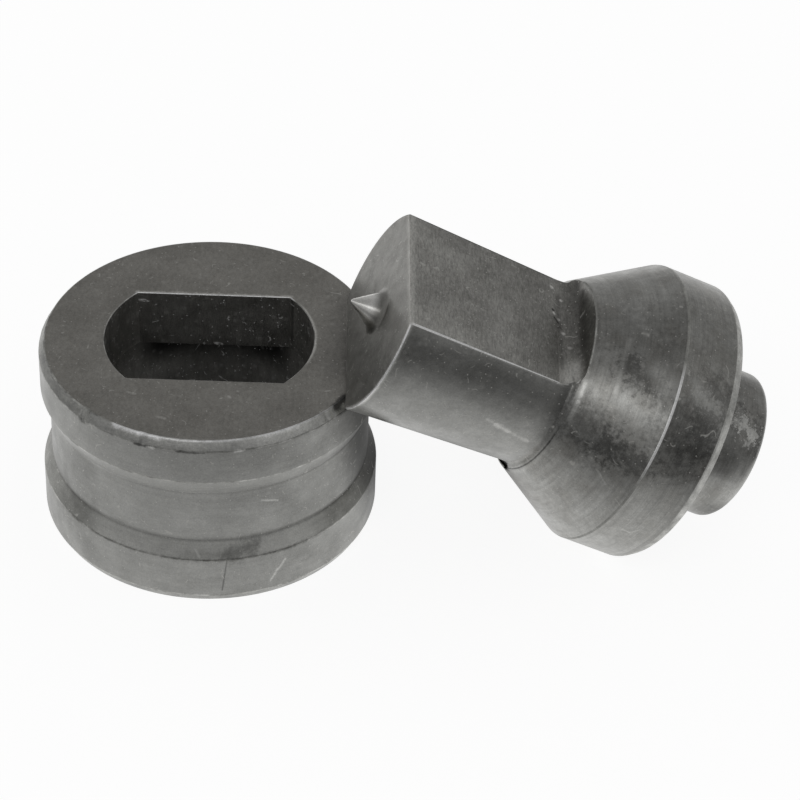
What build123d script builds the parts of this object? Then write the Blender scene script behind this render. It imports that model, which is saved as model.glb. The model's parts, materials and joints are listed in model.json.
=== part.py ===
from build123d import *
from math import asin, atan2, cos, hypot, radians, sin, tan
import os

# Busbar punch set: a round die with a double-D slot, and the punch that belongs to it.
# The die stands on the table with its base centre at the origin, slot along X.
# The punch leans on it: its lower flat lies on the die's rim and its flange on the table.
# All sizes are in millimetres, +Z is up.

# Die: outside, from the base up
die_diameter = 40.0
die_height = 23.9
rim_chamfer_in = 0.65
rim_chamfer_down = 1.15
upper_land = 5.7
lower_land = 6.55
groove_depth = 1.05
groove_slope = 2.25
groove_root_radius = 0.4

# Die: the slot that the punch enters, and the wider bore below its cutting land
slot_length = 24.6
slot_width = 16.5
slot_land = 7.45
slot_edge_break = 0.2
relief_step = 0.7

# Punch: the double-D nose follows the slot, less the cutting clearance on each side
cutting_clearance = 0.45
body_length = 21.4
body_relief_angle = 2.1
runout_radius = 2.5
runout_depth = 0.6

# Punch: the centring point on the nose
point_height = 3.4
point_radius = 2.4
point_foot_radius = 1.0
point_tip_radius = 0.2

# Punch: the head behind the body
shoulder_diameter = 23.0
flange_diameter = 34.2
cone_angle = 29.8
flange_length = 6.7
rear_chamfer_in = 0.6
rear_chamfer_along = 1.0
spigot_diameter = 18.0
spigot_length = 8.8
spigot_root_radius = 0.4
spigot_end_radius = 1.0

# How the punch leans: how far its nose laps over the rim, and how it is turned
rim_lap = 2.85
rim_offset = -1.0
punch_heading = 5.3
punch_roll = 8.6
rest_gap = 0.1

# Worked out from the sizes above
die_radius = die_diameter / 2
rim_radius = die_radius - rim_chamfer_in
waist_radius = die_radius - groove_depth
slot_radius = slot_length / 2
slot_half = slot_width / 2
relief_radius = slot_radius + relief_step
nose_radius = slot_radius - cutting_clearance
nose_half = slot_half - cutting_clearance
shoulder_radius = shoulder_diameter / 2
flange_radius = flange_diameter / 2
spigot_radius = spigot_diameter / 2
relief_slope = tan(radians(body_relief_angle))
cone_length = (flange_radius - shoulder_radius) / tan(radians(cone_angle))
flange_start = body_length + cone_length
flange_end = flange_start + flange_length
spigot_start = flange_end + rear_chamfer_along
spigot_end = spigot_start + spigot_length


def double_d(radius, half_width):
    """A circle cut by two parallel flats, long side along X."""
    return Circle(radius) & Rectangle(2 * radius, 2 * half_width)


def round_corner(face, point, radius):
    """Round the corner of a flat face that lies nearest to the given point."""
    corner = face.vertices().sort_by_distance(point)[0]
    return fillet(corner, radius)


def turned(points, corners):
    """Turn an outline of (radius, height) points about Z, with some corners rounded."""
    face = make_face(Polyline(*points, close=True))
    for point, radius in corners:
        face = round_corner(face, point, radius)
    return revolve(Plane.XZ * face, Axis.Z)


def make_die():
    groove_bottom = lower_land + groove_slope
    groove_top = die_height - upper_land - groove_slope
    outline = [
        (0, 0),
        (rim_radius, 0),
        (die_radius, rim_chamfer_down),
        (die_radius, lower_land),
        (waist_radius, groove_bottom),
        (waist_radius, groove_top),
        (die_radius, die_height - upper_land),
        (die_radius, die_height - rim_chamfer_down),
        (rim_radius, die_height),
        (0, die_height),
    ]
    roots = [
        ((waist_radius, groove_bottom), groove_root_radius),
        ((waist_radius, groove_top), groove_root_radius),
    ]
    die = turned(outline, roots)

    slot = extrude(double_d(slot_radius, slot_half), die_height)
    relief_height = die_height - slot_land
    relief = extrude(Circle(relief_radius), relief_height)
    die = die - slot - relief

    slot_mouth = die.faces().sort_by(Axis.Z)[-1].inner_wires()[0]
    return chamfer(slot_mouth.edges(), slot_edge_break)


def flat_cutter():
    """What the milling cutter takes off one side of the body: a flat that leans in with
    the body's relief and runs out into the head on the cutter's corner radius."""
    before_nose = 1.0
    beyond = flange_radius
    wall = body_length + runout_depth
    outline = [
        (nose_half + before_nose * relief_slope, -before_nose),
        (nose_half - wall * relief_slope, wall),
        (nose_half + beyond, wall),
        (nose_half + beyond, -before_nose),
    ]
    face = make_face(Polyline(*outline, close=True))
    face = round_corner(face, outline[1], runout_radius)
    return extrude(Plane.YZ * face, flange_radius, both=True)


def make_punch():
    """The punch along Z, nose face at zero and head upwards, flats facing Y."""
    outline = [
        (0, -point_height),
        (point_tip_radius, -point_height),
        (point_radius, 0),
        (nose_radius, 0),
        (nose_radius - body_length * relief_slope, body_length),
        (shoulder_radius, body_length),
        (flange_radius, flange_start),
        (flange_radius, flange_end),
        (flange_radius - rear_chamfer_in, spigot_start),
        (spigot_radius, spigot_start),
        (spigot_radius, spigot_end),
        (0, spigot_end),
    ]
    corners = [
        ((point_radius, 0), point_foot_radius),
        ((spigot_radius, spigot_start), spigot_root_radius),
        ((spigot_radius, spigot_end), spigot_end_radius),
    ]
    punch = turned(outline, corners)
    cutter = flat_cutter()
    return punch - cutter - mirror(cutter, Plane.XZ)


def leaning_place():
    """Where the punch comes to rest: a flat on the die's rim, the flange rim on the table.

    The lean angle follows from the two heights. The flat then meets the rim's circle at the
    point whose direction from the die's centre is opposite to the flat's own lean."""
    heading = radians(punch_heading)
    roll = radians(punch_roll)
    lap_half = nose_half - rim_lap * relief_slope
    reach = flange_end - rim_lap
    rise = flange_radius - lap_half * cos(roll) + rim_offset * sin(roll)
    contact_height = die_height + rest_gap
    lean = asin(contact_height / hypot(reach, rise)) - atan2(rise, reach)

    along = Vector(cos(lean) * cos(heading), cos(lean) * sin(heading), -sin(lean))
    level = Vector(sin(heading), -cos(heading), 0)
    upward = level.cross(along)
    flat_normal = level * sin(roll) + upward * cos(roll)
    flat_across = upward * sin(roll) - level * cos(roll)

    relief = radians(body_relief_angle)
    facing = along * sin(relief) - flat_normal * cos(relief)
    spread = hypot(facing.X, facing.Y)
    contact = Vector(
        -rim_radius * facing.X / spread,
        -rim_radius * facing.Y / spread,
        contact_height,
    )
    nose = contact - along * rim_lap + flat_normal * lap_half - flat_across * rim_offset
    return Plane(origin=nose, x_dir=flat_across, z_dir=along).location


os.makedirs("parts", exist_ok=True)
export_step(make_die(), "parts/die.step")
export_step(leaning_place() * make_punch(), "parts/punch.step")
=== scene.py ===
import json
import math

import bmesh
import bpy
from mathutils import Matrix, Vector, noise


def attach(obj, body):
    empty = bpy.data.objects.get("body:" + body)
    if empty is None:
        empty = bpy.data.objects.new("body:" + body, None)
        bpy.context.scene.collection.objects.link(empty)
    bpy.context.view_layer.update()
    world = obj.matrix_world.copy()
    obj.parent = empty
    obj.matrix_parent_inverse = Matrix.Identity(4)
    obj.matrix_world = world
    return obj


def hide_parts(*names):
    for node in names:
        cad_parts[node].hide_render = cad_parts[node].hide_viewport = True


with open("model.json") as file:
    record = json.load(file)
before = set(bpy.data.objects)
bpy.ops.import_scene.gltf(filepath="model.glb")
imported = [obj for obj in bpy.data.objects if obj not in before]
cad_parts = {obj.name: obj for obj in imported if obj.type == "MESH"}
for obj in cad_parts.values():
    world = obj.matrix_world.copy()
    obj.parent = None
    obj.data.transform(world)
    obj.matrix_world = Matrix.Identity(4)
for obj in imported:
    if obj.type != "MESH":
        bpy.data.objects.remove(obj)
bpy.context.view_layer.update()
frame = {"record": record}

# Busbar punch set: a grooved die with a double-D slot, and its punch leaning on the die's rim.
# Sizes are in millimetres and turned to metres where a mesh or a node is made.

mm = 0.001

scene = bpy.context.scene
scene.view_settings.view_transform = "Standard"

# the photograph's camera: place in mm, angles in degrees, lens and sensor in mm, clip in m
shot = {
    "place": (20.70, -274.17, 231.44),
    "yaw": 0.402,
    "pitch": 38.235,
    "roll": 2.173,
    "lens": 131.81,
    "sensor": 36,
    "clip": (0.01, 100),
}

# the lamp: azimuth 0 is the camera's side and 90 is +X, both angles in degrees, sizes and places in mm
lamp = {
    "azimuth": -20, "elevation": 45, "distance": 1000, "target": (22, -2, 12),
    "size": (460, 240), "watts": 0.66,
}

# the room: a way is the direction in which a part of it lies, and a fade the cosines between which it sets in
room = {
    "back": 0.48,              # radiance of the room all round
    "front": 0.08,             # and of its dark lower part, behind and below the camera
    "frontWay": (0.20, -0.98, 0.0),
    "frontFade": (0.15, 0.60),
    "frontTop": (0.06, 0.26),  # where it ends upwards, as cosines from straight up
    "right": 0.09,             # what the pale wall at the right adds
    "rightWay": (0.83, -0.20, 0.52),
    "rightFade": (0.45, 0.98),
    "ceiling": 0.66,           # share of the light that comes from straight above
    "ceilingFade": (0.55, 1.0),
}

# the floor: places and distances in mm, and how white it looks in places; in reflections its glow is painted
# light and painted shade
paper = {
    "color": "#f4f4f4",
    "radius": 30000,
    "vertices": 96,
    "cameraGlow": 0.88,        # plain white to the eye
    "shadowShare": 0.30,       # with this much of the real paper's shading, which keeps the shadow
    "nearGlow": 0.97,          # how white it is in reflections, beside the pieces
    "farGlow": 0.15,           # and further off at the front and sides, where it falls into shade
    "middle": (12, 20),        # of the lit part, which has no border at the back
    "widening": 2,             # and is this much wider than deep
    "litReach": 33,            # its depth to the front
    "shadeLength": 34,         # and the length over which the shade deepens
    "backGlow": 0.95,          # far behind the pieces it is lit again
    "backFade": (60, 300),
    "punchShade": 0.25,        # share left in the punch's shade, beside the die
    "shadeMiddle": (32, 14),
    "shadeFade": (9, 23),
    "boreGlow": (0.0, 0.06),   # painted shade down inside the die's bore, front and back
    "boreFade": (-8, 2),
    "boreRadius": 15,
}

# settings that many nodes share, and the pairs of inputs that take a Map Range node's limits
smooth = {"interpolation_type": "SMOOTHSTEP"}
floats = {"data_type": "FLOAT"}
colors = {"data_type": "RGBA"}
span = ("From Min", "From Max")
ends = ("To Min", "To Max")


def linear(hexColor):
    # sRGB hex to linear RGBA
    digits = hexColor.lstrip("#")
    channels = [int(digits[i:i + 2], 16) / 255 for i in (0, 2, 4)]
    return [c / 12.92 if c <= 0.04045 else ((c + 0.055) / 1.055) ** 2.4 for c in channels] + [1.0]


def inMetres(values):
    return [value * mm for value in values]


def startNodes(owner):
    # empties the owner's node tree and gives the function that adds a node to it
    owner.use_nodes = True
    tree = owner.node_tree
    tree.nodes.clear()

    def addNode(kind, settings=None, links=None):
        # settings are properties by name, or the operation alone. links are a value, a socket or a node for
        # each input by name, with a pair of names for a pair of values, or a list for the first inputs
        node = tree.nodes.new("ShaderNode" + kind)
        if isinstance(settings, str):
            settings = {"operation": settings}
        if isinstance(links, list):
            links = dict(enumerate(links))
        for name, value in (settings or {}).items():
            setattr(node, name, value)
        for socket, value in (links or {}).items():
            for name, part in zip(socket, value) if isinstance(socket, tuple) else [(socket, value)]:
                if isinstance(part, bpy.types.Node):
                    part = next(output for output in part.outputs if output.enabled)
                if isinstance(part, bpy.types.NodeSocket):
                    tree.links.new(part, node.inputs[name])
                else:
                    node.inputs[name].default_value = part
        return node
    return addNode


def deselectAll():
    for piece in list(bpy.context.selected_objects):
        piece.select_set(False)


def makeActive(piece):
    deselectAll()
    piece.select_set(True)
    bpy.context.view_layer.objects.active = piece


def addDisc(vertices, radius, height=0):
    deselectAll()
    bpy.ops.mesh.primitive_circle_add(vertices=vertices, radius=radius * mm, fill_type="NGON",
                                      location=(0, 0, height * mm))
    bpy.ops.object.transform_apply()
    return bpy.context.active_object


# camera

def makeCamera():
    data = bpy.data.cameras.new("camera")
    data.lens = shot["lens"]
    data.sensor_width = shot["sensor"]
    data.clip_start, data.clip_end = shot["clip"]
    camera = bpy.data.objects.new("camera", data)
    scene.collection.objects.link(camera)
    turn = Matrix.Rotation(-math.radians(shot["yaw"]), 4, "Z")
    tip = Matrix.Rotation(math.radians(90 - shot["pitch"]), 4, "X")
    roll = Matrix.Rotation(math.radians(shot["roll"]), 4, "Z")
    camera.matrix_world = Matrix.Translation(Vector(shot["place"]) * mm) @ turn @ tip @ roll
    scene.camera = camera
    print("camera placed")


# studio

def makeLamp():
    azimuth, elevation = math.radians(lamp["azimuth"]), math.radians(lamp["elevation"])
    away = Vector((
        math.sin(azimuth) * math.cos(elevation),
        -math.cos(azimuth) * math.cos(elevation),
        math.sin(elevation),
    ))
    data = bpy.data.lights.new("bandLight", "AREA")
    data.shape = "RECTANGLE"
    data.size, data.size_y = inMetres(lamp["size"])
    data.energy = lamp["watts"]
    light = bpy.data.objects.new("bandLight", data)
    scene.collection.objects.link(light)
    light.location = Vector(lamp["target"]) * mm + away * lamp["distance"] * mm
    light.rotation_mode = "QUATERNION"
    light.rotation_quaternion = (-away).to_track_quat("-Z", "Y")
    print("lamp placed")


def makeRoom():
    # a dim even room, dark low down behind the camera and a little lighter at the right
    world = bpy.data.worlds.new("room")
    scene.world = world
    addNode = startNodes(world)
    ray = addNode("TexCoord").outputs["Generated"]
    upward = addNode("SeparateXYZ", None, [ray]).outputs["Z"]
    toFront = addNode("VectorMath", "DOT_PRODUCT", [ray, room["frontWay"]])
    front = addNode("MapRange", smooth, {"Value": toFront, span: room["frontFade"]})
    darker = room["front"] - room["back"]
    low = addNode("MapRange", smooth, {"Value": upward, span: room["frontTop"], ends: (darker, 0.0)})
    plain = addNode("Math", "MULTIPLY_ADD", [front, low, room["back"]])
    toRight = addNode("VectorMath", "DOT_PRODUCT", [ray, room["rightWay"]])
    rightWall = addNode("MapRange", smooth,
                        {"Value": toRight, span: room["rightFade"], ends: (0.0, room["right"])})
    both = addNode("Math", "ADD", [plain, rightWall])
    above = addNode("MapRange", smooth,
                    {"Value": upward, span: room["ceilingFade"], ends: (1.0, room["ceiling"])})
    both = addNode("Math", "MULTIPLY", [both, above])
    sky = addNode("Background", None, {"Strength": both})
    addNode("OutputWorld", None, {"Surface": sky})


def addPaperGlow(addNode, spot):
    # how white the paper looks in reflections, from place to place: painted light and painted shade
    right, back = addNode("SeparateXYZ", None, [spot]).outputs[:2]
    middle, share, length = inMetres(paper["middle"]), 1 / paper["widening"], paper["shadeLength"]
    aside = addNode("Math", "MULTIPLY_ADD", [right, share, -middle[0] * share])
    ahead = addNode("Math", {"operation": "SUBTRACT", "use_clamp": True}, [middle[1], back])
    offset = addNode("CombineXYZ", None, [aside, ahead])
    away = addNode("VectorMath", "LENGTH", [offset])
    beyond = addNode("Math", "MULTIPLY_ADD", [away, -1 / (length * mm), paper["litReach"] / length])
    beyond = addNode("Math", "MINIMUM", [beyond, 0.0])
    glow = addNode("Math", "EXPONENT", [beyond])
    glow = addNode("Math", "MULTIPLY_ADD", [glow, paper["nearGlow"] - paper["farGlow"], paper["farGlow"]])
    behind = addNode("MapRange", smooth, {"Value": back, span: inMetres(paper["backFade"])})
    glow = addNode("Mix", floats, {0: behind, 2: glow, 3: paper["backGlow"]})
    fromShade = addNode("VectorMath", "DISTANCE", [spot, (*inMetres(paper["shadeMiddle"]), 0)])
    shade = addNode("MapRange", smooth, {"Value": fromShade, span: inMetres(paper["shadeFade"]),
                                         ends: (paper["punchShade"], 1.0)})
    glow = addNode("Math", "MULTIPLY", [glow, shade])
    fromDie = addNode("VectorMath", "LENGTH", [spot])
    inBore = addNode("Math", "LESS_THAN", [fromDie, paper["boreRadius"] * mm])
    bore = addNode("MapRange", smooth,
                   {"Value": back, span: inMetres(paper["boreFade"]), ends: paper["boreGlow"]})
    return addNode("Mix", floats, {0: inBore, 2: glow, 3: bore})


def makeFloor():
    floor = addDisc(paper["vertices"], paper["radius"])
    floor.name = "floor"
    material = bpy.data.materials.new("white paper")
    addNode = startNodes(material)
    rays = addNode("LightPath").outputs
    reflected = addNode("Math", "MAXIMUM", [rays["Is Glossy Ray"], rays["Is Transmission Ray"]])
    glow = addPaperGlow(addNode, addNode("TexCoord").outputs["Object"])
    shown = addNode("Math", "MULTIPLY", [glow, reflected])
    strength = addNode("Math", "MULTIPLY_ADD", [rays["Is Camera Ray"], paper["cameraGlow"], shown])
    white = addNode("Emission", None, {"Color": (1, 1, 1, 1), "Strength": strength})
    hidden = addNode("Math", "MULTIPLY_ADD", [rays["Is Camera Ray"], 1 - paper["shadowShare"], reflected])
    shaded = addNode("Mix", colors, {0: hidden, 6: linear(paper["color"]), 7: (0, 0, 0, 1)})
    matt = addNode("BsdfDiffuse", None, {"Color": shaded})
    both = addNode("AddShader", None, [matt, white])
    addNode("OutputMaterial", None, {"Surface": both})
    floor.data.materials.append(material)
    print("room and floor made")


# the punch's own axes, from the frame: its spigot's mount gives the axis, the roll is how it lies

punchPlace = {
    "roll": 8.6,              # degrees, about its own axis
    "spigotMiddle": 42.978,   # nose face to the middle of the spigot's straight wall
}


def punchMatrix():
    # the punch's own frame: nose face at zero, +Z to the tail, the upper flat facing +Y
    spigot = next(m for m in frame["record"]["mounts"] if m["name"] == "punch_spigot")
    along = Vector(spigot["axis"]).normalized()
    level = Vector((along.y, -along.x, 0)).normalized()
    upward = level.cross(along)
    roll = math.radians(punchPlace["roll"])
    flatNormal = level * math.sin(roll) + upward * math.cos(roll)
    flatAcross = upward * math.sin(roll) - level * math.cos(roll)
    nose = Vector(spigot["pos_m"]) - along * punchPlace["spigotMiddle"] * mm
    turn = Matrix((flatAcross, flatNormal, along)).transposed().to_4x4()
    return Matrix.Translation(nose) @ turn


# materials

# Both pieces are blackened tool steel, worn grey with handling: a dark satin metal that shows the room.
# made: how the surface was made, and its material's name. color and shade: its two tones. patch: mm between
# them. spread: how far the roughness varies. grain: marks per mm along the piece's own axes, drawn a little
# coarser than the real ones so that they show, with their tone and depth (mm). cloud: share of soft light and
# dark. stretch: how far the highlight is drawn out along the axis. dust: share of specks and fibres on it.

finishes = {
    "turnedSide": {      # faint rings run round it, and the sheen is even
        "made": "turned",
        "color": "#9d9d9a", "shade": "#888885", "patch": 4.0, "roughness": 0.37, "spread": 0.10,
        "grain": (0.25, 0.25, 2.0), "tone": 0.06, "depth": 0.0012, "dust": 1.0,
    },
    "grooveSlope": {     # the groove's lower slope, duller where oil and dust settle
        "made": "turned, oily and dusty",
        "color": "#a0a09c", "shade": "#8a8a86", "patch": 3.0, "roughness": 0.46, "spread": 0.10,
        "grain": (0.25, 0.25, 2.0), "tone": 0.08, "depth": 0.0014, "dust": 1.4,
    },
    "wornEdge": {        # the punch's edges, pale in broken lines
        "made": "edge worn bright",
        "color": "#dededa", "shade": "#b0b0ac", "patch": 2.6, "roughness": 0.50, "spread": 0.10,
        "grain": (1.2, 1.2, 1.2), "tone": 0.18, "depth": 0.002, "dust": 0.0,
    },
    "rubbedRim": {       # the die's edges, rubbed less and still dark in places
        "made": "edge rubbed",
        "color": "#c9c9c5", "shade": "#8d8d89", "patch": 2.0, "roughness": 0.46, "spread": 0.10,
        "grain": (1.2, 1.2, 1.2), "tone": 0.20, "depth": 0.002, "dust": 0.0,
    },
    "groundTop": {       # an even dull sheen with fine scratches
        "made": "surface-ground",
        "color": "#9c9a95", "shade": "#8f8d88", "patch": 5.0, "roughness": 0.40, "spread": 0.08,
        "grain": (2.2, 1.1, 1.0), "tone": 0.12, "depth": 0.0014, "dust": 0.9,
    },
    "rimChamfer": {      # blotched and a little rough, lighter where it is rubbed
        "made": "turned, then knocked about",
        "color": "#acaca8", "shade": "#929290", "patch": 2.2, "roughness": 0.40, "spread": 0.12,
        "grain": (2.0, 2.0, 3.0), "tone": 0.14, "depth": 0.003, "dust": 0.8,
    },
    "slotWall": {        # slot and bore: matt, streaked downwards, with bright specks of dust
        "made": "wire-cut",
        "color": "#b1b0ac", "shade": "#9a9995", "patch": 3.0, "roughness": 0.46, "spread": 0.10,
        "grain": (1.4, 1.4, 0.4), "tone": 0.18, "depth": 0.002, "dust": 1.9, "dustColor": "#ffffff",
    },
    "turnedHead": {      # cone, flange and spigot: clear rings that catch the light
        "made": "turned with a coarser feed",
        "color": "#a9a9a6", "shade": "#94938f", "patch": 3.4, "roughness": 0.36, "spread": 0.10,
        "grain": (0.09, 0.09, 3.3), "tone": 0.12, "depth": 0.0036, "dust": 1.0, "cloud": 0.75,
    },
    "milledFlat": {      # the grain runs across, from edge to edge
        "made": "ground across",
        "color": "#a2a19d", "shade": "#8c8b87", "patch": 3.5, "roughness": 0.38, "spread": 0.10,
        "grain": (1.4, 1.0, 4.6), "tone": 0.28, "depth": 0.0022, "dust": 1.6,
    },
    "noseFace": {        # no plain grain, only soft patches
        "made": "faced",
        "color": "#999894", "shade": "#868581", "patch": 2.6, "roughness": 0.40, "spread": 0.12,
        "grain": (1.0, 1.0, 1.0), "tone": 0.10, "depth": 0.0015, "dust": 1.2,
    },
    "centringPoint": {   # bright, with one highlight drawn out along it
        "made": "polished by use",
        "color": "#fbfaf7", "shade": "#e6e5e1", "patch": 1.5, "roughness": 0.33, "spread": 0.04,
        "grain": (0.8, 0.8, 3.0), "tone": 0.04, "depth": 0.0001, "dust": 0.0, "stretch": 0.72,
    },
    "groundBody": {      # the smoothest sheen, from grinding and from the holes it has punched
        "made": "cylindrically ground",
        "color": "#a0a09d", "shade": "#8f8f8c", "patch": 3.5, "roughness": 0.32, "spread": 0.12,
        "grain": (1.0, 1.0, 0.9), "tone": 0.10, "depth": 0.0018, "dust": 1.5, "cloud": 0.30,
    },
}

# what the finishes share
common = {
    "cloud": 0.2,
    "dustColor": "#c4c3be",
    "dustMetal": 0.7,          # how much less metallic a dusty spot is
    "wearFiner": 1.7,          # the roughness changes this much more often than the tones
    "relief": 10,              # the marks are drawn coarser than they are, so their relief is raised too
    "shine": 0.5,              # a clean metal's specular level
}

# dust, in mm: grains, soft tufts and lint; and the blackening's own grit, drawn coarser than it is
specks = {"spacing": 0.50, "size": 0.095, "soft": 0.5, "keep": 0.32, "strength": 1.0}
tufts = {"spacing": 1.3, "size": 0.42, "soft": 1.0, "keep": 0.55, "strength": 0.20}
fibres = {
    "curl": 2.2, "width": 0.035, "core": 0.3, "piece": 1.1, "strength": 0.70,
    "sparse": 0.72,            # they show where the noise that breaks them is above this grey,
    "dusty": 0.05,             # lower by this for each share of dust,
    "fade": 0.05,              # and set in over this much of it
}
grit = {"size": 0.17, "tone": 0.09}

# the noises: how fine and how rough each is, and the part of its greys that is spread out
noises = {
    "mottle": {"detail": 6.0, "roughness": 0.62, "greys": (0.36, 0.64), "clamp": True},
    "grain": {"detail": 3.0, "roughness": 0.70, "greys": (0.30, 0.70), "clamp": False},
    "grit": {"detail": 1.0, "roughness": 0.50, "greys": (0.30, 0.70), "clamp": False},
    "wear": {"detail": 5.0, "roughness": 0.60, "greys": (0.30, 0.70), "clamp": True},
}
fray = {"Scale": 1.3, "Detail": 7.0, "Roughness": 0.72}     # it frays the marks' edges; Scale is per mm
strand = {"Detail": 1.0, "Roughness": 0.4}                  # the lint's curls


def addPattern(addNode, kind, spot, size, middle, swing):
    # a noise of that size in mm, to both sides of the middle by the swing; gives the noise too
    look = noises[kind]
    pattern = addNode("TexNoise", None, {"Vector": spot, "Scale": 1 / size, "Detail": look["detail"],
                                         "Roughness": look["roughness"]})
    spread = addNode("MapRange", {"clamp": look["clamp"]},
                     {"Value": pattern, span: look["greys"], ends: (middle - swing, middle + swing)})
    return pattern, spread


def addMark(addNode, spot, ragged, color, mark):
    # a scratch, stain or scuff with a ragged soft edge; gives the new colour and where the mark lies. It lies
    # between two places, or in a ring round the piece, as far as its arc reaches to both sides of its middle
    if "ring" in mark:
        (radius, height), (middle, reach) = mark["ring"], mark["arc"]
        level = addNode("VectorMath", "MULTIPLY", [spot, (1, 1, 0)])
        outward = addNode("VectorMath", "NORMALIZE", [level])
        facing = Vector((math.cos(math.radians(middle)), math.sin(math.radians(middle)), 0))
        turned = addNode("VectorMath", "DOT_PRODUCT", [outward, facing])
        nearest = addNode("VectorMath", "MULTIPLY_ADD", [outward, (radius, radius, 0), (0, 0, height)])
        gap = addNode("VectorMath", "DISTANCE", [spot, nearest])
        fade = [math.cos(math.radians(min(180, reach * share))) - ringMargin for share in (1, ringFull)]
        strength = addNode("MapRange", smooth, {"Value": turned, span: fade, ends: (0.0, mark["strength"])})
    else:
        start, run = Vector(mark["from"]), Vector(mark["to"]) - Vector(mark["from"])
        away = addNode("VectorMath", "SUBTRACT", [spot, start])
        share = addNode("VectorMath", "DOT_PRODUCT", [away, run / run.length_squared])
        share = addNode("Clamp", None, [share])
        nearest = addNode("VectorMath", "SCALE", {0: run, 3: share})
        gap = addNode("VectorMath", "DISTANCE", [away, nearest])
        strength = mark["strength"]
    gap = addNode("Math", "MULTIPLY_ADD", [ragged, mark["ragged"], gap])
    border = (mark["width"] * (0.5 - mark["soft"] / 2), mark["width"] * (0.5 + mark["soft"]))
    mask = addNode("MapRange", smooth, {"Value": gap, span: border, ends: (strength, 0.0)})
    mix = addNode("Mix", colors, {0: mask, 6: color, 7: linear(mark["color"])})
    return mix, mask


def addDust(addNode, spot, amount):
    # specks, tufts and short curled fibres; gives where they lie, 0 to 1
    dots = []
    for kind in (specks, tufts):
        grains = addNode("TexVoronoi", None, {"Vector": spot, "Scale": 1 / kind["spacing"]})
        reach = kind["size"] / kind["spacing"]
        border = ((1 - kind["soft"]) * reach, reach)
        dot = addNode("MapRange", smooth, {"Value": grains, span: border, ends: (kind["strength"], 0.0)})
        parts = addNode("SeparateColor", None, [grains.outputs["Color"]])
        kept = addNode("Math", "LESS_THAN", [parts, kind["keep"] * amount])
        dots.append(addNode("Math", "MULTIPLY", [dot, kept]))
    dots = addNode("Math", "MAXIMUM", [dots[0], dots[1]])
    curls = addNode("TexNoise", None, {"Vector": spot, "Scale": 1 / fibres["curl"], **strand})
    offLine = addNode("Math", "SUBTRACT", [curls, 0.5])
    offLine = addNode("Math", "ABSOLUTE", [offLine])
    half = fibres["width"] / fibres["curl"]
    line = addNode("MapRange", None,
                   {"Value": offLine, span: (fibres["core"] * half, half), ends: (1.0, 0.0)})
    broken = addNode("TexNoise", None, {"Vector": spot, "Scale": 1 / fibres["piece"], "Detail": 0.0})
    sparse = fibres["sparse"] - fibres["dusty"] * amount
    broken = addNode("MapRange", None, {"Value": broken, span: (sparse, sparse + fibres["fade"]),
                                        ends: (0.0, fibres["strength"])})
    line = addNode("Math", "MULTIPLY", [line, broken])
    return addNode("Math", "MAXIMUM", [dots, line])


def addTone(addNode, spot, look, ragged):
    # grain, grit and soft clouds make the steel lighter and darker; gives the grain too
    drawn = addNode("VectorMath", "MULTIPLY", [spot, look["grain"]])
    grain, tone = addPattern(addNode, "grain", drawn, 1.0, 1.0, look["tone"])
    fine = addPattern(addNode, "grit", spot, grit["size"], 1.0, grit["tone"])[1]
    cloud = addNode("Math", "MULTIPLY_ADD", [ragged, look.get("cloud", common["cloud"]), 1.0])
    tone = addNode("Math", "MULTIPLY", [tone, fine])
    return grain, addNode("Math", "MULTIPLY", [tone, cloud])


def makeSteel(look, place, marks):
    material = bpy.data.materials.new("tool steel, " + look["made"])
    addNode = startNodes(material)
    # spot: the place in mm on the piece's own axes
    spot = addNode("Mapping", {"vector_type": "TEXTURE"}, {
        "Vector": addNode("TexCoord").outputs["Object"], "Location": place.to_translation(),
        "Rotation": place.to_euler(), "Scale": (mm, mm, mm),
    })
    mottle = addPattern(addNode, "mottle", spot, look["patch"], 0.5, 0.5)[1]
    color = addNode("Mix", colors, {0: mottle, 6: linear(look["color"]), 7: linear(look["shade"])})
    ragged = addNode("TexNoise", None, {"Vector": spot, **fray})
    ragged = addNode("Math", "SUBTRACT", [ragged, 0.5])
    paintedShadow = None
    for mark in marks:
        color, mask = addMark(addNode, spot, ragged, color, mark)
        paintedShadow = mask if "paintedShadow" in mark else paintedShadow
    grain, tone = addTone(addNode, spot, look, ragged)
    color = addNode("VectorMath", "SCALE", {0: color, 3: tone})
    roughness = addPattern(addNode, "wear", spot, look["patch"] / common["wearFiner"],
                           look["roughness"], look["spread"] / 2)[1]
    metal = 1.0
    if look["dust"] > 0:
        dust = addDust(addNode, spot, look["dust"])
        dustColor = linear(look.get("dustColor", common["dustColor"]))
        color = addNode("Mix", colors, {0: dust, 6: color, 7: dustColor})
        metal = addNode("Math", "MULTIPLY_ADD", [dust, -common["dustMetal"], 1.0])
    relief = look["depth"] * mm * common["relief"]
    bump = addNode("Bump", None, {"Strength": 1.0, "Height": grain, "Distance": relief})
    links = {"Base Color": color, "Metallic": metal, "Roughness": roughness, "Normal": bump}
    if "stretch" in look:
        # the turning rings stretch the highlight along the piece's axis
        axis = place.to_3x3() @ Vector((0, 0, 1))
        along = addNode("CombineXYZ", None, [*axis])
        links.update({"Anisotropic": look["stretch"], "Tangent": along})
    if paintedShadow is not None:
        # a painted shadow isn't metal and has no shine, so it stays black at a glancing angle
        clean = addNode("Math", "SUBTRACT", [1.0, paintedShadow])
        metal = addNode("Math", "MULTIPLY", [metal, clean])
        shine = addNode("Math", "MULTIPLY", [clean, common["shine"]])
        links.update({"Metallic": metal, "Specular IOR Level": shine})
    steel = addNode("BsdfPrincipled", None, links)
    addNode("OutputMaterial", None, {"Surface": steel})
    return material


# scratches, stains and scuffs, with painted highlights and painted shade, in mm on each piece's own axes. A
# row says on which finishes a mark lies, then where a stroke runs from and to, or a ring's (radius, height)
# and its arc in degrees, as (middle, reach); then its width, how soft and ragged its edge is, its strength
# and colour, and True where it is a painted shadow that stays black

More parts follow.
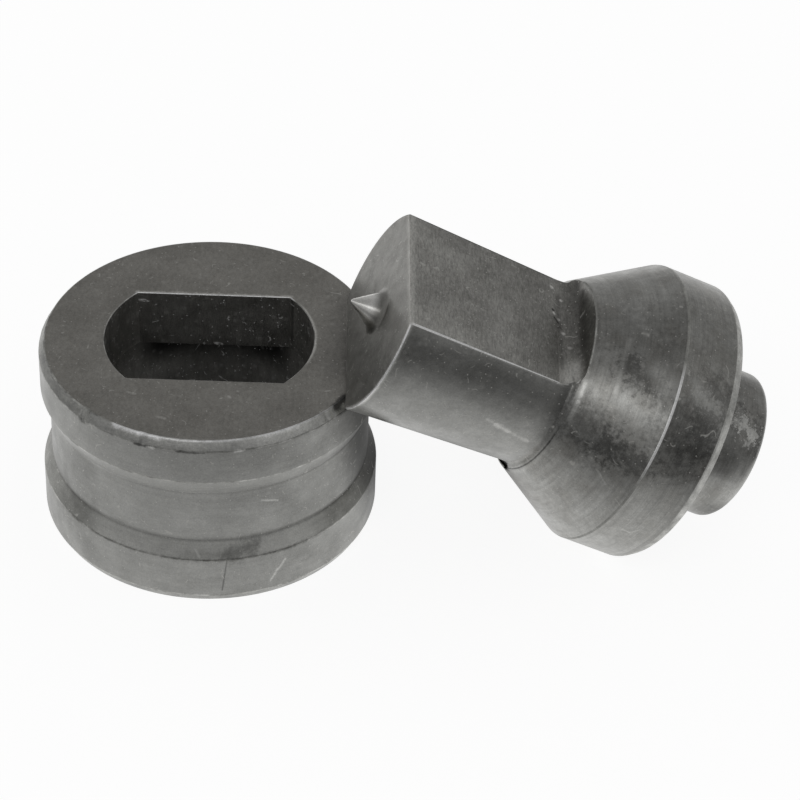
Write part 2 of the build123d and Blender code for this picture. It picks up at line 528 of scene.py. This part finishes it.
strokeColumns = ("on", "from", "to", "width", "soft", "ragged", "strength", "color")
ringColumns = ("on", "ring", "arc", "width", "soft", "ragged", "strength", "color", "paintedShadow")
ringFull = 0.6          # share of a ring's reach that has its full strength
ringMargin = 0.001      # so that a reach of half a turn closes the ring

markedOn = {
    "side": "turnedSide grooveSlope", "sideEdge": "turnedSide grooveSlope rubbedRim", "slope": "grooveSlope",
    "rim": "turnedSide rimChamfer rubbedRim", "chamfer": "rimChamfer", "chamferEdge": "rimChamfer rubbedRim",
    "topEdge": "groundTop rimChamfer rubbedRim", "top": "groundTop", "rubbed": "rubbedRim",
    "slot": "slotWall", "head": "turnedHead", "corner": "milledFlat groundBody turnedHead",
    "root": "groundBody turnedHead", "body": "groundBody", "noseBody": "noseFace groundBody",
    "nose": "noseFace", "flat": "milledFlat", "edge": "wornEdge", "point": "centringPoint",
}

dieMarks = [
    # a fine dark line down the lower land
    ("side", (3.2, -19.7, 6.76), (2.6, -19.8, 1.94), 0.15, 0.5, 0.1, 0.65, "#2a2a29"),
    # the groove's lower slope is painted paler at the front, a painted sheen, and dark along its lower edge;
    # painted shade lies in both roots of the groove, and a painted highlight on its upper slope
    ("slope", (19.5, 7.7), (-88, 50), 4, 0.5, 1.5, 0.68, "#d6d6d2"),
    ("side", (18.98, 8.85), (-85, 90), 0.3, 1, 0.3, 0.55, "#3c3b38"),
    ("sideEdge", (20, 6.55), (-95, 60), 0.24, 0.9, 0.8, 0.5, "#3c3b38"),
    ("side", (19.5, 17), (-100, 100), 2.4, 0.4, 0.5, 0.2, "#cfcfcb"),
    ("side", (18.97, 15.85), (-70, 60), 0.28, 0.9, 0.6, 0.4, "#3c3b38"),
    # an oil stain on the slope
    ("side", (3.6, -19.5, 7.1), (6.4, -18.7, 8.2), 1.2, 0.9, 3.6, 0.62, "#454541"),
    ("side", (-1.5, -19.6, 7), (3.2, -19.5, 7), 0.8, 0.9, 1.6, 0.35, "#5a5a56"),
    # painted a little paler at the front of the upper land and the waist, a painted sheen
    ("side", (-3, -19.5, 14), (-3, -19.5, 22), 15, 0.9, 4, 0.45, "#b8b8b5"),
    # painted shade: the right side is darker, most in a slanting band in the punch's shade and on the lower
    # land beside it, and the front left of the waist is a little darker
    ("side", (19, 2, 3), (18, -3, 20), 12, 0.8, 5, 0.34, "#5c5c59"),
    ("sideEdge", (17.6, -9.4, 21), (19.7, -2.4, 7), 5, 0.9, 3, 0.5, "#50504e"),
    ("side", (19.8, -0.3, 1.5), (19.9, -0.3, 6), 5.6, 0.8, 1, 0.9, "#484846"),
    ("side", (18.95, 11.5), (-141, 13), 8, 0.6, 1.5, 0.32, "#60605d"),
    # light scuffs and lint on the waist and the lower land
    ("side", (7.1, -17.6, 13.96), (8.9, -16.7, 13.33), 0.16, 0.8, 0.9, 0.5, "#dcdcd8"),
    ("side", (8.2, -18.2, 2.3), (9, -17.9, 3.9), 0.18, 0.9, 1.2, 0.5, "#dcdcd8"),
    ("side", (9, -17.9, 3.6), (9.8, -17.4, 5), 0.16, 0.9, 1, 0.45, "#dcdcd8"),
    ("sideEdge", (-0.5, -19.4, 7.7), (0, -19.8, 6.9), 0.14, 0.9, 0.8, 0.5, "#dcdcd8"),
    # painted shade under the burrs below the chamfer
    ("rim", (-7.2, -18.7, 22.6), (-6, -19.1, 22.6), 0.22, 0.7, 0.5, 0.65, "#2c2c2b"),
    ("rim", (-2.5, -19.9, 22.6), (0.8, -20, 22.6), 0.16, 0.8, 0.7, 0.6, "#333332"),
    # painted highlight: the chamfer is painted lighter at the front, most along its top edge
    ("chamfer", (-10, -17, 23.4), (5, -19, 23.4), 5, 0.8, 1, 0.16, "#f0f0ec"),
    ("chamferEdge", (-9.6, -16.9, 23.9), (-4.6, -18.9, 23.9), 0.45, 0.9, 0.9, 0.9, "#ffffff"),
    ("chamferEdge", (7.6, -17.8, 23.9), (11, -15.9, 23.9), 0.45, 0.9, 0.9, 0.8, "#ffffff"),
    ("chamferEdge", (19.35, 23.9), (-72, 52), 0.26, 0.8, 0.5, 0.62, "#ffffff"),
    ("chamfer", (9, -17.6, 23.4), (15.5, -12.6, 23.4), 5, 0.8, 1.5, 0.55, "#e8e8e4"),
    # painted glints on burrs turned over to the light
    ("rim", (-5.5, -19.2, 22.65), (-5.1, -19.3, 22.65), 0.22, 0.9, 0.8, 0.6, "#f4f4f0"),
    ("rim", (4.2, -19.5, 22.65), (5.2, -19.3, 22.7), 0.22, 0.9, 0.9, 0.6, "#f4f4f0"),
    # painted shadow where the punch lies on the rim, and painted shade on the top beside it
    ("topEdge", (15.4, -12.2, 23.7), (16.4, -10.4, 23.9), 0.9, 0.5, 0.9, 0.85, "#262625"),
    ("rim", (15.9, -12.2, 22.9), (16.7, -11, 22.9), 0.7, 0.6, 0.8, 0.5, "#262625"),
    ("top", (17.2, -4, 23.9), (18.2, 6, 23.9), 5, 0.8, 2, 0.55, "#5c5b58"),
    # fine scratches on the top
    ("top", (-8.6, -11, 23.9), (-7.8, -11.3, 23.9), 0.2, 1, 0.8, 0.35, "#e0dfda"),
    ("top", (-4.9, -15.3, 23.9), (-4, -15.6, 23.9), 0.2, 1, 0.8, 0.35, "#e0dfda"),
    # painted highlights along the slot's edge, most along the far side
    ("rubbed", (-9.1, 8.25, 23.9), (9.1, 8.25, 23.9), 0.9, 0.6, 1.4, 0.85, "#ffffff"),
    ("top", (-9.1, 8.4, 23.9), (9.1, 8.4, 23.9), 0.3, 1, 1.2, 0.6, "#e8e7e2"),
    ("top", (12.4, 23.9), (6, 32), 0.24, 1, 0.5, 0.75, "#e8e7e2"),
    # dust on its far wall, painted shade in the corner near the wall's end, a painted highlight on the land's
    # lower edge, and painted light on the bore beside it
    ("slot", (-6, 8.25, 20.5), (5, 8.25, 19.5), 7, 0.8, 4, 0.45, "#dcdbd7"),
    ("slot", (9.4, 8, 23.5), (9.4, 8, 16.6), 0.35, 1, 0.4, 0.6, "#565654"),
    ("slot", (12.5, 16.45), (156, 36), 0.45, 1, 0.3, 0.5, "#e0dfda"),
    ("slot", (-12.6, 3.5, 12.5), (-8, 10.2, 11.5), 4, 0.8, 1, 0.55, "#e0dfda"),
    ("slot", (10, 8.3, 13.8), (12, 5, 14.5), 3, 0.8, 1, 0.4, "#e0dfda"),
    # deep shade on the bore's wall under the slot's far land
    ("slot", (-6.8, 11.2, 14.4), (6.8, 11.2, 14.4), 3.4, 0.8, 0.5, 0.95, "#343433"),
]
punchMarks = [
    # a scratch on the body, in three strokes
    ("body", (-11.33, 0.55, 13.77), (-11.29, 0.35, 14.6), 0.2, 1.2, 0.7, 0.35, "#e6e5e1"),
    ("body", (-11.26, 0.2, 15.2), (-11.2, -0.2, 16.9), 0.32, 1.1, 1.1, 0.7, "#eeede9"),
    ("body", (-11.19, -0.25, 17.2), (-11.11, -0.64, 19.71), 0.24, 1.2, 1, 0.4, "#e6e5e1"),
    ("body", (-11.6, 0.6, 4), (-11.2, 0.6, 18), 3.2, 1, 1.5, 0.3, "#cacac6"),
    # painted shade round the shoulder's concave root behind the body, a black painted shadow in the corner
    # where the flat runs out, and a painted highlight on the cone's edge beside it
    ("root", (11.68, 21.72), (-150, 54), 0.13, 0.9, 0.2, 0.75, "#2e2e2d"),
    ("corner", (11.6, 21.9), (-118, 18), 0.75, 0.4, 0.2, 1, "#0a0a0a", True),
    ("root", (11.3, 21), (158, 26), 1.2, 1, 0.6, 0.45, "#3c3c3b"),
    ("head", (11.9, 22.2), (146, 14), 0.3, 1, 0.3, 0.6, "#f0f0ec"),
    # the edges are worn bright; painted highlights round the nose, along the flat and on the flange's lit
    # side, and painted shade that makes them duller on the head and dark at the far side
    ("edge", (11.85, 0), (178, 66), 1.2, 0.5, 0.8, 0.9, "#ffffff"),
    ("noseBody", (11.85, 0), (178, 66), 0.36, 1, 0.5, 0.7, "#f4f4f0"),
    ("edge", (-8.8, 7.7, 0.6), (-8.5, 7.1, 20), 0.9, 0.6, 1.6, 0.85, "#ffffff"),
    ("edge", (11.85, 0), (62, 66), 1, 0.6, 0.5, 0.8, "#3e3e3c"),
    ("edge", (8.8, 7.7, 0.6), (8.5, 7.1, 19), 0.9, 0.6, 1.2, 0.8, "#444442"),
    ("edge", (17.1, 31.178), (84, 62), 1, 0.6, 1.6, 0.6, "#94948f"),
    ("edge", (17.1, 31.178), (140, 26), 1, 0.6, 1.6, 0.8, "#ffffff"),
    ("edge", (17.1, 31.178), (-155, 50), 1, 0.6, 1.6, 0.82, "#8c8c88"),
    ("edge", (11.75, 22), (72, 34), 1, 0.8, 1, 0.7, "#7c7c78"),
    # the flat's front edge: worn dull, with a painted highlight as a light border on the flat and the nose,
    # and lighter patches on the flat behind it
    ("edge", (-8.3, 7.8, 0), (8.6, 7.8, 0), 1.2, 0.5, 0.6, 0.85, "#cfcec9"),
    ("flat", (-9, 7.8, 0.1), (9.2, 7.8, 0.1), 0.7, 1, 0.9, 0.55, "#d4d3ce"),
    ("nose", (-8.6, 7.8, 0), (9, 7.8, 0), 0.7, 1, 0.9, 0.45, "#c8c7c2"),
    ("flat", (-9, 7.5, 1.5), (-8.9, 7.1, 6.5), 4, 1, 1.5, 0.35, "#c6c5c0"),
    ("flat", (6.5, 7.7, 1), (3.5, 7.6, 4), 4, 1, 1.5, 0.25, "#c6c5c0"),
    # the centring point dulls into the nose at its foot
    ("point", (2.15, -0.42), (150, 250), 0.9, 1, 0.3, 1, "#8f8e8a"),
    # painted highlights along the corner's edges, where the flat runs out into the head, painted light where
    # the run-out starts, and the flat darker across below it
    ("corner", (-8.72, 7.09, 19.3), (-8.52, 7.25, 20.6), 0.16, 0.5, 0.1, 0.8, "#f4f4f0"),
    ("corner", (-8.5, 7.28, 20.7), (-8.3, 7.95, 21.5), 0.14, 0.6, 0.1, 0.6, "#e4e4e0"),
    ("corner", (-8.3, 7.98, 21.5), (-7, 9.5, 22), 0.14, 0.7, 0.1, 0.7, "#f4f4f0"),
    ("flat", (-6.6, 7.5, 20.9), (-7.9, 7.3, 20.6), 1.6, 1, 1, 0.65, "#deddd8"),
    ("flat", (7, 7.2, 17), (-1, 7.2, 18), 4.5, 1, 3, 0.3, "#62615d"),
    # pits in the upper flat, dark with a speck of light beside each, a dark line across it, and darker
    # deep in its run-out
    ("flat", (2, 7.1, 19.4), (1.3, 7.1, 19.8), 0.16, 0.8, 0.5, 0.85, "#2c2b2a"),
    ("flat", (3.2, 7.1, 19.2), (3.1, 7.1, 19.3), 0.2, 0.8, 0.4, 0.8, "#2c2b2a"),
    ("flat", (0.6, 7.2, 20.1), (0.2, 7.2, 20.2), 0.18, 0.8, 0.5, 0.7, "#2c2b2a"),
    ("flat", (2.7, 7.1, 19.3), (2.55, 7.1, 19.4), 0.22, 0.8, 0.4, 0.9, "#f4f3ef"),
    ("flat", (1.9, 7.1, 19.9), (1.8, 7.1, 20), 0.22, 0.8, 0.4, 0.85, "#f4f3ef"),
    ("flat", (-0.3, 7.2, 20.3), (-0.4, 7.2, 20.4), 0.24, 0.8, 0.4, 0.85, "#f4f3ef"),
    ("flat", (5.2, 7.2, 20.3), (5.1, 7.2, 20.4), 0.22, 0.8, 0.4, 0.8, "#f4f3ef"),
    ("flat", (7, 7.1, 19.2), (6.9, 7.1, 19.3), 0.26, 0.8, 0.4, 0.8, "#f4f3ef"),
    ("flat", (-2.6, 7.5, 20.9), (-2.7, 7.6, 21), 0.26, 0.9, 0.4, 0.7, "#e4e3df"),
    ("flat", (6, 7.1, 19.9), (-6, 7.1, 20.1), 0.35, 1, 1, 0.4, "#4c4b49"),
    ("flat", (7, 8.6, 21.7), (-2.8, 8.6, 21.7), 1.7, 1, 0.8, 0.6, "#474643"),
    # stains on the cone
    ("head", (-7.2, 12.1, 26), (-9.2, 12.4, 28), 1.7, 0.9, 11, 0.52, "#484846"),
    ("head", (-2, 12.9, 24), (-6.2, 14, 28.1), 4, 0.8, 12, 0.18, "#545452"),
    ("head", (-10.8, 5, 22.4), (-13.2, 5, 26.2), 3, 0.8, 10, 0.48, "#4c4c4a"),
    ("head", (-13.6, 5.2, 26.8), (-15.5, 6, 30.4), 1.9, 0.9, 10, 0.58, "#555553"),
    ("head", (-10, 12, 29.6), (-13.4, 9.6, 30.6), 2, 1, 1.5, 0.2, "#787875"),
    # paler clouds, and a soft streak
    ("head", (-7.9, 13.5, 28.5), (-9.6, 13.5, 30.2), 1.2, 1, 5, 0.46, "#d6d6d2"),
    ("head", (-4.2, 13.1, 25.5), (-9.6, 9.8, 25.2), 0.36, 1.2, 0.9, 0.5, "#d2d2ce"),
    # the flange is darker towards the front and stained in a band beside it, then pale below
    ("head", (-1.8, 17, 32), (-3.4, 16.8, 37), 6, 0.8, 3, 0.35, "#63635f"),
    ("head", (-10, 13.9, 35.8), (-13.2, 10.9, 36.2), 3.2, 0.9, 11, 0.58, "#454543"),
    ("head", (-12.2, 12, 32.2), (-14.4, 9.2, 35), 4, 0.8, 9, 0.52, "#4c4c4a"),
    ("head", (-9.6, 14.1, 33.4), (-10.5, 13.5, 36), 1, 1, 9, 0.42, "#dcdcd8"),
    ("head", (17.1, 34.5), (-168, 36), 7.4, 0.6, 1.5, 0.35, "#c9c9c5"),
    # the spigot: darker bands, a paler ring and a scuff towards its end, and painted shade on its lower front
    # near the end
    ("head", (9, 43.4), (143, 25), 4.4, 0.7, 2.5, 0.46, "#50504e"),
    ("head", (9, 46.6), (128, 28), 1.8, 0.7, 2.5, 0.38, "#50504e"),
    ("head", (9, 46.4), (168, 30), 1.6, 0.8, 0.6, 0.4, "#e0e0dc"),
    ("head", (9, 46.6), (-134, 50), 2.8, 0.7, 0.6, 0.62, "#60605d"),
    ("head", (9, 44.4), (88, 24), 4, 0.7, 1, 0.3, "#50504e"),
    ("head", (-3.8, 8.1, 43), (-5.2, 7.3, 46.4), 1.7, 0.6, 12, 0.48, "#2e2e2d"),
    ("head", (-4.3, 7.9, 43.6), (-5.2, 7.3, 46.4), 0.8, 0.6, 9, 0.55, "#e6e6e2"),
    ("head", (-5.6, 7, 44.6), (-5.9, 6.8, 45.8), 0.5, 0.7, 8, 0.5, "#dededa"),
    # lint
    ("head", (-14.6, 2.2, 27.1), (-15.6, 1.4, 28.7), 0.12, 1, 1, 0.45, "#dcdcd8"),
    ("head", (-16.8, -3.1, 33.6), (-16.8, -3.2, 34.7), 0.12, 1, 0.8, 0.45, "#dcdcd8"),
    ("head", (-16.8, -3.2, 34.7), (-17, -2.1, 35.3), 0.12, 1, 0.8, 0.45, "#dcdcd8"),
]


# mesh helpers

weldGap = 0.004        # mm: points nearer than this are one
sameSpot = 0.01        # mm: an edge nearer than this to a place is at it
smoothAngle = 40       # degrees


def startEdit():
    bpy.ops.object.mode_set(mode="EDIT")
    bpy.ops.mesh.select_all(action="SELECT")


def endEdit():
    # leaves edit mode with all faces turned outwards
    bpy.ops.mesh.select_all(action="SELECT")
    bpy.ops.mesh.normals_make_consistent(inside=False)
    bpy.ops.object.mode_set(mode="OBJECT")


def turnPiece(name, vertices, profile):
    # a disc at the profile's first (radius, height), carried up through the others
    radius, height = profile[0]
    piece = addDisc(vertices, radius, height)
    piece.name = name
    startEdit()
    for nextRadius, nextHeight in profile[1:]:
        bpy.ops.mesh.extrude_region_move(TRANSFORM_OT_translate={"value": (0, 0, (nextHeight - height) * mm)})
        share = nextRadius / radius
        bpy.ops.transform.resize(value=(share, share, 1), center_override=(0, 0, nextHeight * mm))
        radius, height = nextRadius, nextHeight
    endEdit()
    return piece


def cornerArc(before, corner, after, radius):
    # the (radius, height) points that round one corner of a profile
    count = 6
    corner, before, after = Vector(corner), Vector(before), Vector(after)
    toBefore, toAfter = (before - corner).normalized(), (after - corner).normalized()
    half = toBefore.angle(toAfter) / 2
    middle = corner + (toBefore + toAfter).normalized() * radius / math.sin(half)
    startArm = corner + toBefore * radius / math.tan(half) - middle
    endArm = corner + toAfter * radius / math.tan(half) - middle
    arms = [startArm.lerp(endArm, step / count).normalized() * radius for step in range(count + 1)]
    return [tuple(middle + arm) for arm in arms]


def roundProfile(profile, rounds):
    # the profile with the corners listed in rounds, as index: radius, made arcs
    result = []
    for index, point in enumerate(profile):
        if index in rounds:
            result += cornerArc(profile[index - 1], point, profile[index + 1], rounds[index])
        else:
            result.append(point)
    return result


def cut(piece, cutter):
    makeActive(piece)
    boolean = piece.modifiers.new("cut", "BOOLEAN")
    boolean.operation = "DIFFERENCE"
    boolean.solver = "EXACT"
    boolean.object = cutter
    bpy.ops.object.modifier_apply(modifier=boolean.name)
    bpy.data.objects.remove(cutter, do_unlink=True)
    makeActive(piece)
    startEdit()
    bpy.ops.mesh.remove_doubles(threshold=weldGap * mm)
    bpy.ops.object.mode_set(mode="OBJECT")


def selectEdges(piece, wanted):
    # wanted is asked with each edge and its middle in mm
    bpy.ops.object.mode_set(mode="EDIT")
    bpy.ops.mesh.select_mode(type="EDGE")
    bpy.ops.mesh.select_all(action="DESELECT")
    mesh = bmesh.from_edit_mesh(piece.data)
    for edge in mesh.edges:
        edge.select_set(wanted(edge, (edge.verts[0].co + edge.verts[1].co) / 2 / mm))
    bmesh.update_edit_mesh(piece.data)


def bevelEdges(piece, edges, material):
    # rounds the sharp edges, apart from those that edges["sharp"] leaves as they are
    makeActive(piece)
    selectEdges(piece, lambda edge, middle: (math.degrees(edge.calc_face_angle(0)) > edges["angle"]
                                             and not edges["sharp"](middle)))
    bpy.ops.mesh.bevel(offset=edges["width"] * mm, segments=edges["segments"], affect="EDGES",
                       clamp_overlap=False, loop_slide=False, material=material)
    bpy.ops.object.mode_set(mode="OBJECT")


def dressPiece(piece, zones, zoneOf, place, rows, edges):
    # a finish for each zone, then the worn edges between them
    marks = [dict(zip(ringColumns if len(row[1]) == 2 else strokeColumns, row)) for row in rows]
    for name in zones:
        here = [mark for mark in marks if name in markedOn[mark["on"]].split()]
        piece.data.materials.append(makeSteel(finishes[name], place, here))
    for face in piece.data.polygons:
        face.material_index = zones.index(zoneOf(face.center / mm, face.normal))
    worn = zones.index(edges["finish"])
    bevelEdges(piece, edges, worn)
    for face in piece.data.polygons:
        if face.material_index == worn and edges["unworn"](face.center / mm):
            face.material_index = zones.index(zoneOf(face.center / mm, face.normal))
    makeActive(piece)
    bpy.ops.object.shade_smooth_by_angle(angle=math.radians(smoothAngle))
    weighted = piece.modifiers.new("even shading", "WEIGHTED_NORMAL")
    weighted.keep_sharp = True
    bpy.ops.object.modifier_apply(modifier=weighted.name)
    print(piece.name, "dressed:", len(zones), "finishes and", len(marks), "marks")


# die: radii and heights in mm

dieSizes = {
    "profile": [
        (19.35, 0), (20, 1.15), (20, 6.55), (18.95, 8.8), (18.95, 15.95),
        (20, 18.2), (20, 22.3), (20, 22.75), (19.35, 23.9),
    ],
    "rootRounds": {3: 0.4, 4: 0.4},
    "vertices": 720,
    "slotRadius": 12.3, "slotHalfWidth": 8.25, "reliefRadius": 13.0, "reliefHeight": 16.45,
    "before": 1,               # how far the cutters start below the base
    "slotCutter": 30,          # length of the slot's cutter
}
dieRim = {
    "waver": 0.07, "waves": 14, "finer": (3, 0.6),     # finer waves: how many more, and how high
    "radius": 20, "outside": 19, "above": 22.5,        # where the rim is
    "lowerEdge": 23,           # below this is its lower edge, which wavers
    "ramp": 0.25,              # share of a knock over which it deepens
    "knocks": [                # from and to in degrees, depth in mm
        (-133.9, -130.6, 0.20), (-44.6, -42.8, 0.06), (-41.6, -40.0, 0.05), (-110.8, -107.6, 0.08),
    ],
}
dieFinishes = ["turnedSide", "rubbedRim", "groundTop", "rimChamfer", "slotWall", "grooveSlope"]
dieZones = {                   # limits in mm, and of a normal's z: 0 on a wall, 1 on a face that looks up
    "inside": 13.2, "wall": 0.5,
    "top": 23, "level": 0.99,
    "chamfers": (1.2, 22), "sloping": 0.35,     # below and above these
    "groove": (6.4, 9), "grooveSlope": (0.2, 0.8),
    "slotEdges": 13.3, "baseEdges": 1,
}


def slotEdge(spot):
    # the slot's and the bore's edges, but for those in the top
    return spot.z < dieZones["top"] and spot.xy.length < dieZones["slotEdges"]


dieEdges = {
    "finish": "rubbedRim", "width": 0.12, "angle": 20, "segments": 3,
    "sharp": lambda spot: slotEdge(spot) and spot.z > dieZones["baseEdges"],
    "unworn": slotEdge,
}


def within(limits, value):
    return limits[0] < value < limits[1]


def dieZone(centre, normal):
    if centre.xy.length < dieZones["inside"] and abs(normal.z) < dieZones["wall"]:
        return "slotWall"
    if normal.z > dieZones["level"] and centre.z > dieZones["top"]:
        return "groundTop"
    if abs(normal.z) > dieZones["sloping"] and not within(dieZones["chamfers"], centre.z):
        return "rimChamfer"
    if within(dieZones["grooveSlope"], normal.z) and within(dieZones["groove"], centre.z):
        return "grooveSlope"
    return "turnedSide"


def slotCutter(sizes):
    # the double-D slot, right through
    cutter = addDisc(sizes["vertices"], sizes["slotRadius"], -sizes["before"])
    for side in (1, -1):
        startEdit()
        bpy.ops.mesh.bisect(plane_co=(0, side * sizes["slotHalfWidth"] * mm, 0), plane_no=(0, side, 0),
                            clear_outer=True)
    bpy.ops.mesh.select_all(action="SELECT")
    bpy.ops.mesh.extrude_region_move(TRANSFORM_OT_translate={"value": (0, 0, sizes["slotCutter"] * mm)})
    endEdit()
    return cutter


def reliefCutter(sizes):
    # the round bore below the slot's land
    before = sizes["before"]
    height = sizes["reliefHeight"] + before
    deselectAll()
    bpy.ops.mesh.primitive_cylinder_add(vertices=sizes["vertices"] // 2, radius=sizes["reliefRadius"] * mm,
                                        depth=height * mm, location=(0, 0, (height / 2 - before) * mm))
    return bpy.context.active_object


def wearRim(die, rim):
    # the top chamfer's lower edge wavers, with a nick and chips knocked into the chamfer
    finer, share = rim["finer"]
    for vertex in die.data.vertices:
        radius, height = vertex.co.xy.length / mm, vertex.co.z / mm
        if height < rim["above"] or radius < rim["outside"]:
            continue
        angle = math.degrees(math.atan2(vertex.co.y, vertex.co.x))
        spot = Vector((math.cos(math.radians(angle)), math.sin(math.radians(angle)), height / rim["radius"]))
        wave = noise.noise(spot * rim["waves"]) + share * noise.noise(spot * rim["waves"] * finer)
        depth = 0
        for start, end, most in rim["knocks"]:
            along = (angle - start) / (end - start)
            if 0 < along < 1:
                depth += most * min(1, along / rim["ramp"], (1 - along) / rim["ramp"])
        inward = (radius - depth) / radius
        lift = rim["waver"] * wave if height < rim["lowerEdge"] else 0
        vertex.co = Vector((vertex.co.x * inward, vertex.co.y * inward, vertex.co.z + lift * mm))


def makeDie():
    sizes = dieSizes
    die = turnPiece("dieBody", sizes["vertices"], roundProfile(sizes["profile"], sizes["rootRounds"]))
    wearRim(die, dieRim)
    cut(die, slotCutter(sizes))
    cut(die, reliefCutter(sizes))
    print("die turned and its slot cut:", len(die.data.polygons), "faces")
    return die


# punch: radii and stations along its axis in mm, nose face at zero

punchSizes = {
    "vertices": 144,           # the flats' edges then run down the middle of the body's strips
    "pointRadius": 2.4, "pointHeight": 3.4, "pointTip": 0.2, "pointFoot": 1.0,
    "noseRadius": 11.85, "noseHalf": 7.8,
    "lean": 2.1,               # degrees that the body and its flats lean in towards the head
    "bodyLength": 21.4, "flatEnd": 22.0, "runoutRadius": 2.5, "shoulderRadius": 11.5,
    "corner": [                # body into cone, as (radius, station)
        (11.08, 20.98), (11.141, 21.17), (11.261, 21.33), (11.425, 21.445), (11.702, 21.753), (12.03, 22.325),
    ],
    "flangeRadius": 17.1, "flangeStart": 31.178, "flangeEnd": 37.878, "rearRadius": 16.5,
    "spigotStart": 38.878, "spigotRadius": 9.0, "spigotEnd": 47.678, "spigotRoot": 0.4, "spigotRound": 1.0,
    "endDisc": 0.2,            # the turned profile ends in a disc this small
}
flatBlock = {"width": 50, "reach": 24, "before": 1, "segments": 16}     # bigger than the punch all round
bodyTwist = {"near": 0.5, "outside": 0.3}     # it takes the rings this near the body's end and its shoulder
punchFinishes = ["turnedHead", "wornEdge", "milledFlat", "noseFace", "groundBody", "centringPoint"]
punchZones = {                 # stations at which the finishes end, and the flats' other limits
    "point": -0.4,
    "nose": 0.01,
    "flats": 22.01, "radius": 11.6, "taper": 0.037, "endWall": -0.9,
    "body": 21.05,
    "rearChamfer": (37.95, 38.8),
    "worn": (-0.2, 40),        # the point's and the spigot's edges aren't worn
    "corner": (19.5, 22.1), "cornerRadius": 11.9, "lip": 21.98, "lipEnd": 6.8,
}


def cornerEdge(spot):
    # where the flats run out into the head, the edges stay as they are cut
    if not within(punchZones["corner"], spot.z) or spot.xy.length >= punchZones["cornerRadius"]:
        return False
    return spot.z < punchZones["lip"] or abs(spot.x) > punchZones["lipEnd"]


punchEdges = {
    "finish": "wornEdge", "width": 0.16, "angle": 21, "segments": 3,
    "sharp": cornerEdge,
    "unworn": lambda spot: not within(punchZones["worn"], spot.z),
}


def punchZone(centre, normal):
    if centre.z < punchZones["point"]:
        return "centringPoint"
    if centre.z < punchZones["nose"]:
        return "noseFace"
    inside = centre.xy.length < punchZones["radius"] - punchZones["taper"] * centre.z
    if centre.z < punchZones["flats"] and (inside or normal.z < punchZones["endWall"]):
        return "milledFlat"
    if centre.z < punchZones["body"]:
        return "groundBody"
    return "wornEdge" if within(punchZones["rearChamfer"], centre.z) else "turnedHead"


def flatCutter(sizes, side):
    # one side's milling: a block whose inner wall leans with the body and ends in the cutter's radius
    slope = math.tan(math.radians(sizes["lean"]))
    wall, reach, before = sizes["flatEnd"], flatBlock["reach"], flatBlock["before"]
    near = sizes["noseHalf"] + before * slope
    far = sizes["noseHalf"] - wall * slope
    deselectAll()
    bpy.ops.mesh.primitive_cube_add(size=mm, location=(0, (near + reach) / 2 * mm, (wall - before) / 2 * mm),
                                    scale=(flatBlock["width"], reach - near, wall + before))
    cutter = bpy.context.active_object
    bpy.ops.object.transform_apply(location=True, rotation=False, scale=True)
    selectEdges(cutter, lambda edge, middle: max(abs(middle.y - near), abs(middle.z - wall)) < sameSpot)
    bpy.ops.transform.translate(value=(0, (far - near) * mm, 0))
    half = math.radians(90 + sizes["lean"]) / 2
    bpy.ops.mesh.bevel(offset=sizes["runoutRadius"] / math.tan(half) * mm, segments=flatBlock["segments"],
                       affect="EDGES")
    if side < 0:
        bpy.ops.mesh.select_all(action="SELECT")
        bpy.ops.transform.mirror(constraint_axis=(False, True, False), center_override=(0, 0, 0))
    endEdit()
    return cutter


def twistBody(punch, sizes):
    # the body's rings are shifted a little round the axis, so its long faces follow the flats' edges
    slope = math.tan(math.radians(sizes["lean"]))
    endRadius = sizes["noseRadius"] - sizes["bodyLength"] * slope
    endHalf = sizes["noseHalf"] - sizes["bodyLength"] * slope
    shift = math.asin(sizes["noseHalf"] / sizes["noseRadius"]) - math.asin(endHalf / endRadius)
    for vertex in punch.data.vertices:
        radius = math.hypot(vertex.co.x, vertex.co.y) / mm
        near = abs(vertex.co.z / mm - sizes["bodyLength"]) < bodyTwist["near"]
        if near and radius < sizes["shoulderRadius"] + bodyTwist["outside"]:
            around = math.atan2(vertex.co.y, vertex.co.x)
            vertex.co = Matrix.Rotation(-shift * math.sin(2 * around), 3, "Z") @ vertex.co


def makePunch():
    sizes = punchSizes
    profile = [
        (sizes["pointTip"], -sizes["pointHeight"]),
        (sizes["pointRadius"], 0),
        (sizes["noseRadius"], 0),
        *sizes["corner"],
        (sizes["flangeRadius"], sizes["flangeStart"]),
        (sizes["flangeRadius"], sizes["flangeEnd"]),
        (sizes["rearRadius"], sizes["spigotStart"]),
        (sizes["spigotRadius"], sizes["spigotStart"]),
        (sizes["spigotRadius"], sizes["spigotEnd"]),
        (sizes["endDisc"], sizes["spigotEnd"]),
    ]
    last = len(profile) - 1
    rounds = {1: sizes["pointFoot"], last - 2: sizes["spigotRoot"], last - 1: sizes["spigotRound"]}
    punch = turnPiece("punchBody", sizes["vertices"], roundProfile(profile, rounds))
    twistBody(punch, sizes)
    for side in (1, -1):
        cut(punch, flatCutter(sizes, side))
    print("punch turned and its flats milled:", len(punch.data.polygons), "faces")
    return punch


makeCamera()
makeLamp()
makeRoom()
makeFloor()

die = makeDie()
dressPiece(die, dieFinishes, dieZone, Matrix.Identity(4), dieMarks, dieEdges)
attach(die, "root")
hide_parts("die")

punch = makePunch()
dressPiece(punch, punchFinishes, punchZone, punchMatrix(), punchMarks, punchEdges)
punch.matrix_world = punchMatrix()
bpy.ops.object.transform_apply()
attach(punch, "root")
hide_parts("punch")
